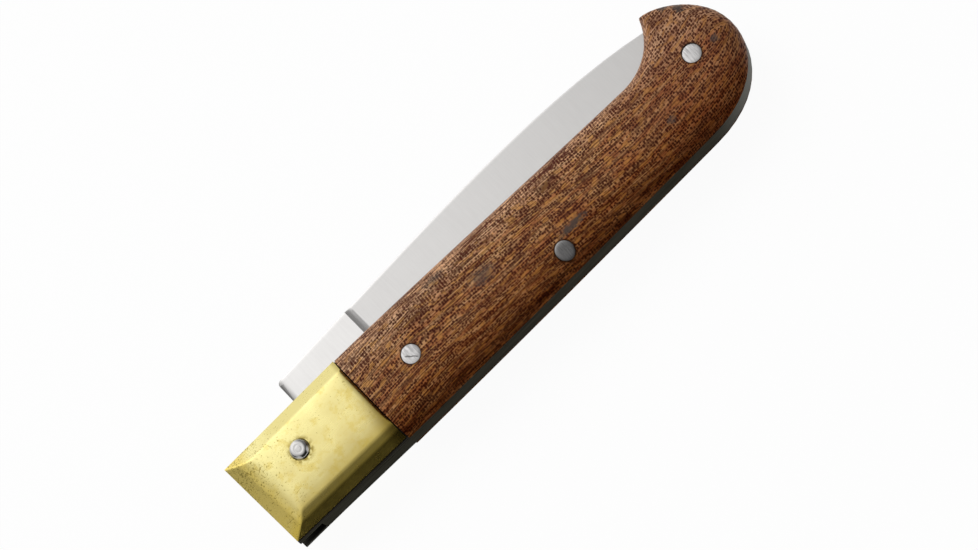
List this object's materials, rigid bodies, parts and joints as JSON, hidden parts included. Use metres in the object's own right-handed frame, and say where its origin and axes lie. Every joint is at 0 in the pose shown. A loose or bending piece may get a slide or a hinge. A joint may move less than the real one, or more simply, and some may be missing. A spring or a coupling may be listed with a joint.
{
  "type": "folding knife",
  "caption": "Closed folding pocket knife: brass bolsters, wood scales with a beaked pommel, a back spring and a flat-ground steel blade that swings out on a riveted pivot.",
  "frame": {"origin": "centre of the bounding box at its lowest level, on the flat of the rear wood scale", "axes": "+X along the handle towards the pommel, +Y towards the opening side where the blade's spine stands out, +Z out of the front scale"},
  "size_m": [0.108, 0.024, 0.0126],
  "materials": {
    "blade_steel": "satin, fine scratches",
    "spring_steel": "dull, darkened",
    "pin_steel": "filed flush, scratched",
    "rivet_steel": "polished dome",
    "brass": "polished casting with fine pits",
    "wood": "oiled, fine open grain"
  },
  "bodies": {
    "handle": {"back_spring": "spring_steel", "front_liner": "spring_steel", "rear_liner": "spring_steel", "front_bolster": "brass", "rear_bolster": "brass", "front_bolster_pins": "brass", "rear_bolster_pins": "brass", "front_scale": "wood", "rear_scale": "wood", "front_scale_pin": "pin_steel", "rear_scale_pin": "pin_steel", "spring_pin": "pin_steel", "end_pin": "pin_steel", "pivot_pin": "rivet_steel"},
    "blade": {"blade": "blade_steel"}
  },
  "joints": [
    {"name": "blade_pivot", "type": "hinge", "parent": "handle", "child": "blade", "pos_m": [-0.04275, -0.00126, 0.0063], "axis": [0, 0, 1], "range_deg": [0, 170], "deforming": ["back_spring"]}
  ]
}
